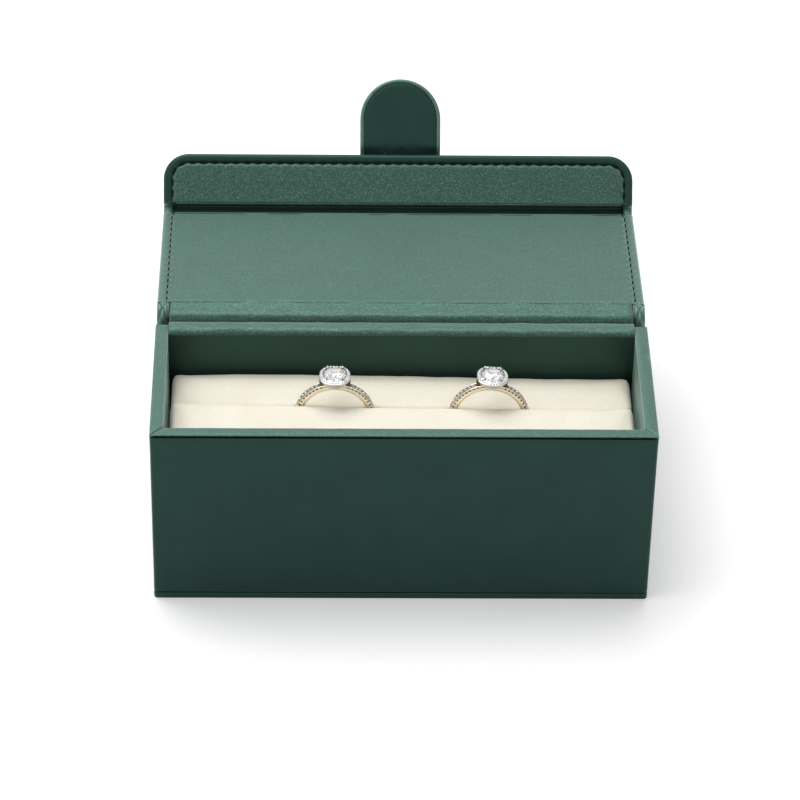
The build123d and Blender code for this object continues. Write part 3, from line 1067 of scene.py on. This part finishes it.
def slotOpening(look, x, z):
    # half the slot's width: shut, but open round the rings' bands
    opening = look["closed"]
    for side in ("left", "right"):
        gap = hypot(x - ringLook[side]["x"], z - ringLook["centreHeight"])
        mid = (ringLook["inner"] + ringLook["outer"]) / 2
        near = 1 - ease((abs(gap - mid) - 1.0) / look["openReach"])
        opening = max(opening, look["closed"] + (look["open"] - look["closed"]) * near)
    return opening


def rollMesh(look, front, back, crown):
    # a roll with a crowned top and rounded ends, before the velvet is blown up
    bend, foot, tip = look["round"], look["foot"], look["endRound"]
    section = []
    for middle, turns in ((back - bend, spread(0, 90, 15)), (front + bend, spread(90, 180, 15))):
        section += [(middle + bend * cos(radians(t)), crown - bend + bend * sin(radians(t))) for t in turns]
    section += [(front, z) for z in spread(crown - bend, foot + 1, 3.0)[1:]]
    section += [(y, foot) for y in spread(front + 1, back - 1, 3.0)]
    section += [(back, z) for z in spread(foot + 1, crown - bend, 3.0)[:-1]]
    middle = ((front + back) / 2, (foot + crown) / 2)
    half = Vector(((back - front) / 2, (crown - foot) / 2))
    ends = [(tip * (1 - cos(radians(a))), tip * (1 - sin(radians(a)))) for a in (0, 25, 45, 65, 80)]
    reach = look["end"] - tip - 0.5
    stations = [(-look["end"] + e, inset) for e, inset in ends] + [(x, 0) for x in spread(-reach, reach, 3.0)]
    stations += [(look["end"] - e, inset) for e, inset in reversed(ends)]
    rings = []
    for x, inset in stations:
        scale = Vector((max(0.05, 1 - inset / half.x), max(0.05, 1 - inset / half.y)))
        ring = []
        for y, z in section:
            away = Vector((y - middle[0], z - middle[1]))
            ring.append(Vector((x, middle[0] + away.x * scale.x, middle[1] + away.y * scale.y)))
        rings.append(ring)
    return Shell().loft(rings, caps=True)


def applied(piece):
    # the piece's modifiers become part of its mesh
    depsgraph = bpy.context.evaluated_depsgraph_get()
    mesh = bpy.data.meshes.new_from_object(piece.evaluated_get(depsgraph))
    piece.modifiers.clear()
    piece.data = mesh
    return mesh


def blowUp(piece, look):
    # cloth with a little pressure
    scale = look["scale"]
    piece.data.transform(Matrix.Scale(scale, 4))
    bpy.context.view_layer.objects.active = piece
    remesh = piece.modifiers.new("remesh", "REMESH")
    remesh.mode = "VOXEL"
    remesh.voxel_size = look["voxel"] * scale * mm
    start = np.array([vertex.co[:] for vertex in applied(piece).vertices])
    cloth = piece.modifiers.new("cloth", "CLOTH")
    cloth.settings.use_pressure = True
    cloth.settings.uniform_pressure_force = look["pressure"]
    cloth.settings.quality = look["quality"]
    cloth.settings.effector_weights.gravity = 0
    cloth.point_cache.frame_start, cloth.point_cache.frame_end = 1, look["frames"]
    for step in range(1, look["frames"] + 1):
        bpy.context.scene.frame_set(step)
    blown = applied(piece)
    move = np.array([vertex.co[:] for vertex in blown.vertices]) - start
    size = np.linalg.norm(move, axis=1, keepdims=True)
    cap = look["cap"] * mm
    move *= np.minimum(1, cap * np.tanh(size / cap) / np.maximum(size, 1e-9))
    blown.vertices.foreach_set("co", ((start + move) / scale).ravel())
    bpy.context.scene.frame_set(1)


def makeRoll(look, side, front, back):
    # side is "front" or "back", and the roll fills the box from front to back
    piece = rollMesh(look, front, back, look[f"{side}Crown"]).make(f"velvetRoll{side.capitalize()}", velvet)
    blowUp(piece, look)
    xs, lifts = zip(*look[f"{side}Wave"])
    lean = sin(radians(ringLook["lean"]))
    for vertex in piece.data.vertices:
        x, y, z = vertex.co / mm
        top = ease((z - look["topFrom"]) / look["topReach"])
        z += top * (float(np.interp(x, xs, lifts)) + look["ripple"] * waver(x, y, look["rippleSize"], 5.0))
        z = max(z, look["foot"])
        y = min(max(y, look["frontBack"]), look["backWall"])
        plane = look["slot"] + (z - ringLook["centreHeight"]) * lean
        gap = slotOpening(look, x, z)
        y = min(y, plane - gap) if side == "front" else max(y, plane + gap)
        x = min(max(x, -look["end"]), look["end"])
        vertex.co = Vector((x, y, z)) * mm
    piece.data.materials.clear()
    piece.data.materials.append(velvet.material)
    smooth = piece.modifiers.new("smooth", "SMOOTH")
    smooth.factor, smooth.iterations = 0.5, 2
    applied(piece).shade_smooth()
    ride(piece, "box", [f"cushion_{side}"])


def makeCushion(look):
    makeRoll(look, "front", look["frontBack"], look["slot"] - look["closed"])
    makeRoll(look, "back", look["slot"] + look["closed"], look["backWall"])


# the rings

stoneLook = {
    "diameter": 6.0,
    "crown": 1.0,
    "belt": 0.15,
    "pavilion": 2.2,
    "plateLow": 12.1,
    "plateHigh": 13.1,
    "haloHalf": 4.1,
    "haloCorner": 3.4,
    "haloStone": 0.82,
    "haloCount": 26,
    "haloInset": 0.52,
    "haloTilt": 24.0,
    "haloSink": 0.12,
    "haloCut": (0.2, 0.04, 0.4),  # crown, belt and pavilion
    "haloBead": (0.16, -0.3),
    "turn": 11.0,
    # the halo's metal, as inset and height: its wall from the plate's low side, its bright-cut edge from the high
    "wallLow": [(1.7, -1.35), (1.5, -1.5), (1.25, -1.42), (0.7, -0.7), (0.25, -0.05)],
    "wallHigh": [(0.0, -0.6), (0.02, -0.4), (0.12, -0.33), (0.3, -0.28)],
    # the seat round the centre stone, as room round it and height
    "seat": [(0.2, -0.02), (0.12, 0.06), (0.05, -0.06), (-0.1, -0.5)],
    "seatFoot": (-1.0, -0.9),  # from the plate's low side
    "haloSides": 72,
    # the two gallery rails, as inset and height: from the plate's low side, and from the band's outer face
    "railHigh": (1.5, -0.55),
    "railLow": (2.2, 0.35),
    "railThick": 0.2,
    "railSides": 36,
    "clawThick": 0.62,
    # a claw's reach, height and thickness: from the band's outer face, the plate's low side and its high side
    "clawFoot": (0.42, -0.5, 0.8),
    "clawLow": [(0.7, -0.7, 0.8), (0.98, 0.2, 0.95)],
    "clawHigh": [(1.04, -0.1, 1.0), (1.01, 0.55, 0.95), (0.92, 1.05, 0.75), (0.82, 1.32, 0.45), (0.76, 1.42, 0.15)],
    "shoulderStone": 1.08,
    "shoulderCount": 10,
    "shoulderStart": 21.0,
    "shoulderStep": 6.5,
    "shoulderCut": (0.3, 0.03, 0.5),
    "bead": 0.13,
    "beadPlace": (0.55, 0.12),  # across the band and up from it
    "rim": 0.84,
    "rimThick": 0.13,
    "hole": 0.3,
    "holePlace": (0.22, -0.42),  # in from the band's side and up from its outer face
    "bed": [(-0.72, -0.1), (-0.7, 0.02), (0.7, 0.02), (0.72, -0.1)],
    "web": (9, 23),  # degrees from the head
    "webHalf": 0.6,
}
# a brilliant's rings of corners: share of the radius, and of the crown's or the pavilion's height
cutLook = {"table": 0.56, "star": 0.79, "starHeight": 0.52, "main": 0.42, "mainDepth": 0.62}


def brilliant(shell, place, diameter, crown, belt, pavilion, sides=8):
    # a round brilliant: table, stars, kites, halves, girdle and pavilion, with flat facets
    radius = diameter / 2

    def ring(count, r, z, shift=0.0):
        return [place @ Vector((r * cos(turn), r * sin(turn), z)) for turn in circle(count, shift)]

    start = len(shell.points)
    table = ring(sides, radius * cutLook["table"], belt + crown)
    star = ring(sides, radius * cutLook["star"], belt + crown * cutLook["starHeight"], 0.5)
    upper = ring(2 * sides, radius, belt)
    lower = ring(2 * sides, radius, 0)
    main = ring(sides, radius * cutLook["main"], -pavilion * cutLook["mainDepth"], 0.5)
    culet = [place @ Vector((0, 0, -pavilion))]
    shell.points.extend(table + star + upper + lower + main + culet)
    t, s = start, start + sides
    u = s + sides
    low = u + 2 * sides
    m = low + 2 * sides
    c = m + sides
    shell.faces.append(tuple(t + i for i in range(sides)))
    for i in range(sides):
        j = (i + 1) % sides
        before = (i - 1) % sides
        shell.faces.append((t + i, s + i, t + j))  # star
        shell.faces.append((t + i, s + before, u + 2 * i, s + i))  # kite
        shell.faces.append((s + i, u + 2 * i, u + 2 * i + 1))  # upper halves
        shell.faces.append((s + i, u + 2 * i + 1, u + (2 * i + 2) % (2 * sides)))
        for k in (2 * i, 2 * i + 1):
            after = (k + 1) % (2 * sides)
            shell.faces.append((u + k, u + after, low + after, low + k))
        shell.faces.append((m + i, low + 2 * i, low + 2 * i + 1))
        shell.faces.append((m + i, low + 2 * i + 1, low + (2 * i + 2) % (2 * sides)))
        shell.faces.append((m + before, low + 2 * i, m + i, c))


def bead(shell, place, radius, rows=4, count=8):
    rings = []
    for row in range(1, rows):
        wide, high = radius * sin(pi * row / rows), radius * cos(pi * row / rows)
        rings.append([place @ Vector((wide * cos(turn), wide * sin(turn), high)) for turn in circle(count)])
    shell.loft(rings, caps=True)


def wire(shell, points, radii, count=10):
    # a round wire through points, with its own thickness at each
    rings = []
    for i, (point, r) in enumerate(zip(points, radii)):
        a, b = points[max(i - 1, 0)], points[min(i + 1, len(points) - 1)]
        aim = (b - a).to_track_quat("Z", "X")
        rings.append([point + aim @ Vector((r * cos(turn), r * sin(turn), 0)) for turn in circle(count)])
    shell.loft(rings, caps=True)


def haloLane(look, inset, count):
    # points of a rounded square, evenly spaced
    half, corner = look["haloHalf"] - inset, max(look["haloCorner"] - inset, 0.3)
    path = []
    for x, y, start in ((1, 1, 0), (-1, 1, 90), (-1, -1, 180), (1, -1, 270)):
        centre = Vector((x, y)) * (half - corner)
        for step in range(9):
            turn = radians(start + 90 * step / 8)
            path.append(centre + corner * Vector((cos(turn), sin(turn))))
    path.append(path[0])
    lengths = np.cumsum([0] + [(b - a).length for a, b in zip(path, path[1:])])
    places = [lengths[-1] * i / count for i in range(count)]
    across, along = [np.interp(places, lengths, [point[axis] for point in path]) for axis in (0, 1)]
    return [Vector(spot) for spot in zip(across, along)]


def makeBand(look, place, name):
    # comfort-fit band: rounded inside and out, narrowing a little towards its foot
    middle, thick = (look["outer"] + look["inner"]) / 2, (look["outer"] - look["inner"]) / 2
    rings = []
    for turn in circle(144):
        foot = 0.5 - 0.5 * cos(turn)  # 0 at the head, 1 at the foot
        half = look["width"] / 2 * (1 - look["narrow"] * foot)
        ring = []
        for angle in circle(20):
            across = half * signedPower(cos(angle), look["squareAcross"])
            radius = middle + thick * signedPower(sin(angle), look["squareThrough"])
            ring.append(place @ Vector((radius * sin(turn), across, radius * cos(turn))))
        rings.append(ring)
    return Shell().loft(rings + [rings[0]]).make(f"band{name}", paleGold, 60)


def makeHead(look, stone, place, name):
    metal, small, centre = Shell(), Shell(), Shell()
    low, high = stone["plateLow"], stone["plateHigh"]
    seat = stone["diameter"] / 2
    # the halo's metal: outer wall, top with a bright-cut edge, and the seat inside
    lanes = [(inset, low + z) for inset, z in stone["wallLow"]] + [(inset, high + z) for inset, z in stone["wallHigh"]]
    count = stone["haloSides"]
    rings = [[place @ Vector((*spot, z)) for spot in haloLane(stone, inset, count)] for inset, z in lanes]
    aims = [spot.normalized() for spot in haloLane(stone, 0, count)]
    room, drop = stone["seatFoot"]
    for radius, z in [(seat + room, high + z) for room, z in stone["seat"]] + [(seat + room, low + drop)]:
        rings.append([place @ Vector((*(aim * radius), z)) for aim in aims])
    metal.loft(rings + [rings[0]])
    for level, (inset, up) in ((low, stone["railHigh"]), (look["outer"], stone["railLow"])):
        lane = haloLane(stone, inset, stone["railSides"])
        route = [place @ Vector((*spot, level + up)) for spot in lane + lane[:2]]
        wire(metal, route, [stone["railThick"]] * len(route), 8)
    reach = seat + stone["clawThick"] * 0.36
    stops = []
    for level, part in ((look["outer"], [stone["clawFoot"]]), (low, stone["clawLow"]), (high, stone["clawHigh"])):
        stops += [(share, level + z, size) for share, z, size in part]
    radii = [stone["clawThick"] / 2 * size for share, z, size in stops]
    for x, y in ((-1, -1), (-1, 1), (1, -1), (1, 1)):
        aim = Vector((x, y)).normalized() * reach
        wire(metal, [place @ Vector((*(aim * share), z)) for share, z, size in stops], radii)
    # a bead between each two stones of the halo
    inset, up = stone["haloBead"]
    for spot in haloLane(stone, inset, stone["haloCount"] * 2)[1::2]:
        bead(metal, place @ Matrix.Translation((*spot, high + up)), stone["bead"])
    for spot in haloLane(stone, stone["haloInset"], stone["haloCount"]):
        # each small stone leans outwards, along the bowl of the halo
        lean = Matrix.Rotation(atan2(spot.y, spot.x), 4, "Z") @ Matrix.Rotation(radians(stone["haloTilt"]), 4, "Y")
        at = place @ Matrix.Translation((*spot, high - stone["haloSink"])) @ lean
        brilliant(small, at, stone["haloStone"], *stone["haloCut"], 6)
    at = place @ Matrix.Translation((0, 0, high)) @ Matrix.Rotation(radians(stone["turn"]), 4, "Z")
    brilliant(centre, at, stone["diameter"], stone["crown"], stone["belt"], stone["pavilion"])
    head = metal.make(f"head{name}", whiteGold, 60)
    halo = small.make(f"haloStones{name}", smallStone, 5)
    return head, halo, centre.make(f"centreStone{name}", clearStone, 3)


def makeShoulders(look, stone, place, name):
    stones, metal, paintedShade = Shell(), Shell(), Shell()
    outer, start, step = look["outer"], stone["shoulderStart"], stone["shoulderStep"]
    last = start + stone["shoulderCount"] * step
    for sign in (-1, 1):

        def at(angle, across=0.0, up=0.0):
            # a place on the band, turned away from the head
            return place @ Matrix.Rotation(radians(sign * angle), 4, "Y") @ Matrix.Translation((0, across, outer + up))

        # the dark bed between the stones, in dark metal: painted shade under and between them
        angles = spread(start - 4, last - 3, 2)
        paintedShade.loft([[at(angle, *spot).translation for spot in stone["bed"]] for angle in angles], caps=True)
        # the pierced web between the shoulder and the halo, drawn as a solid block of dark metal: painted shade in the
        # gap under the halo
        web, side, head = [], stone["webHalf"], stone["plateLow"] - 0.3
        for angle in spread(*stone["web"], 2):
            across, foot = sin(radians(angle)) * outer, cos(radians(angle)) * outer - 0.2
            corners = ((-side, foot), (side, foot), (side, head), (-side, head))
            web.append([place @ Vector((sign * across, y, z)) for y, z in corners])
        paintedShade.loft(web, caps=True)
        for i in range(stone["shoulderCount"]):
            angle = start + i * step
            brilliant(stones, at(angle, 0, 0.02), stone["shoulderStone"], *stone["shoulderCut"], 6)
            # two pairs of beads hold each stone
            across, up = stone["beadPlace"]
            for side in (-1, 1):
                bead(metal, at(angle + step / 2, side * across, up), stone["bead"])
            # a small round cut through the band's side under each stone, drawn as a dark bead: painted shade in the
            # cut
            inset, up = stone["holePlace"]
            for side in (-1, 1):
                bead(paintedShade, at(angle, side * (look["width"] / 2 - inset), up), stone["hole"], 6, 10)
        # bright-cut walls along both edges of the shoulder
        for side in (-1, 1):
            points = [at(angle, side * stone["rim"], 0.02).translation for angle in spread(start - 5, last, 4)]
            wire(metal, points, [stone["rimThick"]] * len(points), 6)
    stones = stones.make(f"shoulderStones{name}", smallStone, 5)
    beads = metal.make(f"shoulderBeads{name}", paleGold, 60)
    return stones, beads, paintedShade.make(f"shoulderShade{name}", shadedMetal, 60)


def makeRings(look, stone):
    for side in ("left", "right"):
        name = side.capitalize()
        place = (
            Matrix.Translation((look[side]["x"], look["depth"], look["centreHeight"]))
            @ Matrix.Rotation(radians(-look["lean"]), 4, "X")
            @ Matrix.Rotation(radians(look[side]["roll"]), 4, "Y")
        )
        ride(makeBand(look, place, name), "box", [f"ring_band_{side}"])
        head, halo, middle = makeHead(look, stone, place, name)
        ride(head, "box", [f"ring_head_{side}"])
        ride(halo, "box", [f"halo_stones_{side}"])
        ride(middle, "box", [f"centre_stone_{side}"])
        stones, beads, paintedShade = makeShoulders(look, stone, place, name)
        ride(stones, "box", [f"shoulder_stones_{side}"])
        ride(beads, "box")
        ride(paintedShade, "box")


# carried-over CAD nodes

slotFinish = {
    "outer_leather": greenOuter,
    "lining_leather": greenLining,
    "greyboard": board,
    "velvet": velvet,
    "foam": foam,
    "magnet": nickel,
    "gold": paleGold,
    "white_metal": whiteGold,
    "gemstone": clearStone,
}


def dressNodes():
    slots = {part["node"]: part["material_slot"] for part in frame["record"]["subparts"]}
    for name, node in frame["nodes"].items():
        node.data.materials.clear()
        finish = greenOuter if name.startswith("lining_") else slotFinish[slots[name]]
        node.data.materials.append(finish.material)


# floor and world

floorLook = {"half": 4000, "colour": 0.93, "lift": 0.19}


def makeFloor(look):
    half = look["half"]
    corners = [(-half, -half, 0), (half, -half, 0), (half, half, 0), (-half, half, 0)]
    floor = makePiece("floor", corners, [(0, 1, 2, 3)], floorPaper(look))


def seenDirectly(finish):
    # 1 for rays from the camera, in reflections and through glass
    camera = finish.node("LightPath", output="Is Camera Ray")
    glossy = finish.node("LightPath", output="Is Glossy Ray")
    through = finish.node("LightPath", output="Is Transmission Ray")
    return finish.clamp(camera + glossy + through)


def floorPaper(look):
    grey = (look["colour"],) * 3
    finish = Finish("floorPaper", Roughness=1.0, Specular_IOR_Level=0.0, Base_Color=grey, Emission_Strength=1.0)
    lift = seenDirectly(finish) * look["lift"]
    return finish.dress(Emission_Color=finish.node("CombineXYZ", {}, {0: lift, 1: lift, 2: lift}))


worldLook = {"light": 0.48, "seen": 1.0}


def makeWorld(look):
    world = bpy.data.worlds.new("studio")
    world.use_nodes = True
    bpy.context.scene.world = world
    tree = world.node_tree
    back = tree.nodes["Background"]
    path = tree.nodes.new("ShaderNodeLightPath")
    strength = tree.nodes.new("ShaderNodeMapRange")
    strength.inputs["To Min"].default_value = look["seen"]
    strength.inputs["To Max"].default_value = look["light"]
    tree.links.new(path.outputs["Is Diffuse Ray"], strength.inputs["Value"])
    tree.links.new(strength.outputs["Result"], back.inputs["Strength"])
    back.inputs["Color"].default_value = (1, 1, 1, 1)


placeCamera(cameraLook)
for lampName, lamp in lampLook.items():
    placeLamp(lampName, lamp)
makeWorld(worldLook)
makeFloor(floorLook)
print("stage")
dressNodes()
makeCase(caseLook)
makeRims(rimLook)
print("case")
makeLid(leafLook)
makeFlap(leafLook)
makeFold(foldLook)
makeTab(tabLook)
print("lid, flap and tab")
makeHinge(hingeLook)
makeSpine(spineLook)
makeKnobs(knobLook)
print("hinge")
makeCushion(cushionLook)
print("cushion")
makeRings(ringLook, stoneLook)
print("rings")

scene = bpy.context.scene
scene.view_settings.view_transform = "Standard"
